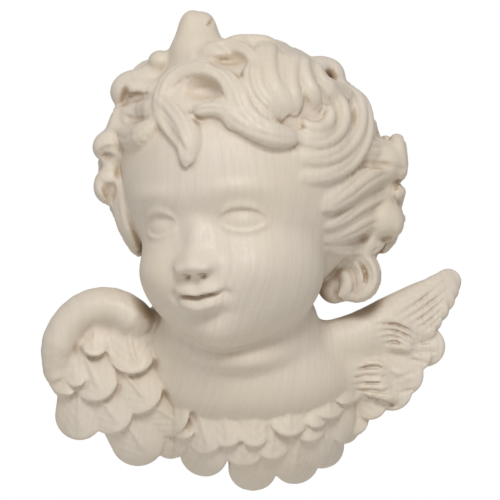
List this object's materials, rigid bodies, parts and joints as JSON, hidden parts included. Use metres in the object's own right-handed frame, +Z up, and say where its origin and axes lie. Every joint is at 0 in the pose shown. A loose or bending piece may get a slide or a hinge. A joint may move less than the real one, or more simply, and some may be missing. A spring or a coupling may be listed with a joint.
{
  "type": "carved cherub head wall ornament",
  "caption": "Carved wooden cherub head with curled hair, bare chest and two feathered wings, flat at the back with a hanging hole, made to hang on a wall.",
  "frame": {"origin": "On the flat back, behind the middle of the head, 107 mm above the lowest feather", "axes": "+Y out of the back towards the wall, so the face looks along -Y; +Z up; +X to the viewer's right"},
  "size_m": [0.1752, 0.09, 0.2001],
  "materials": {
    "maple": "raw, finely sanded, satin"
  },
  "bodies": {
    "root": {"cherub_head": "maple"}
  },
  "joints": []
}
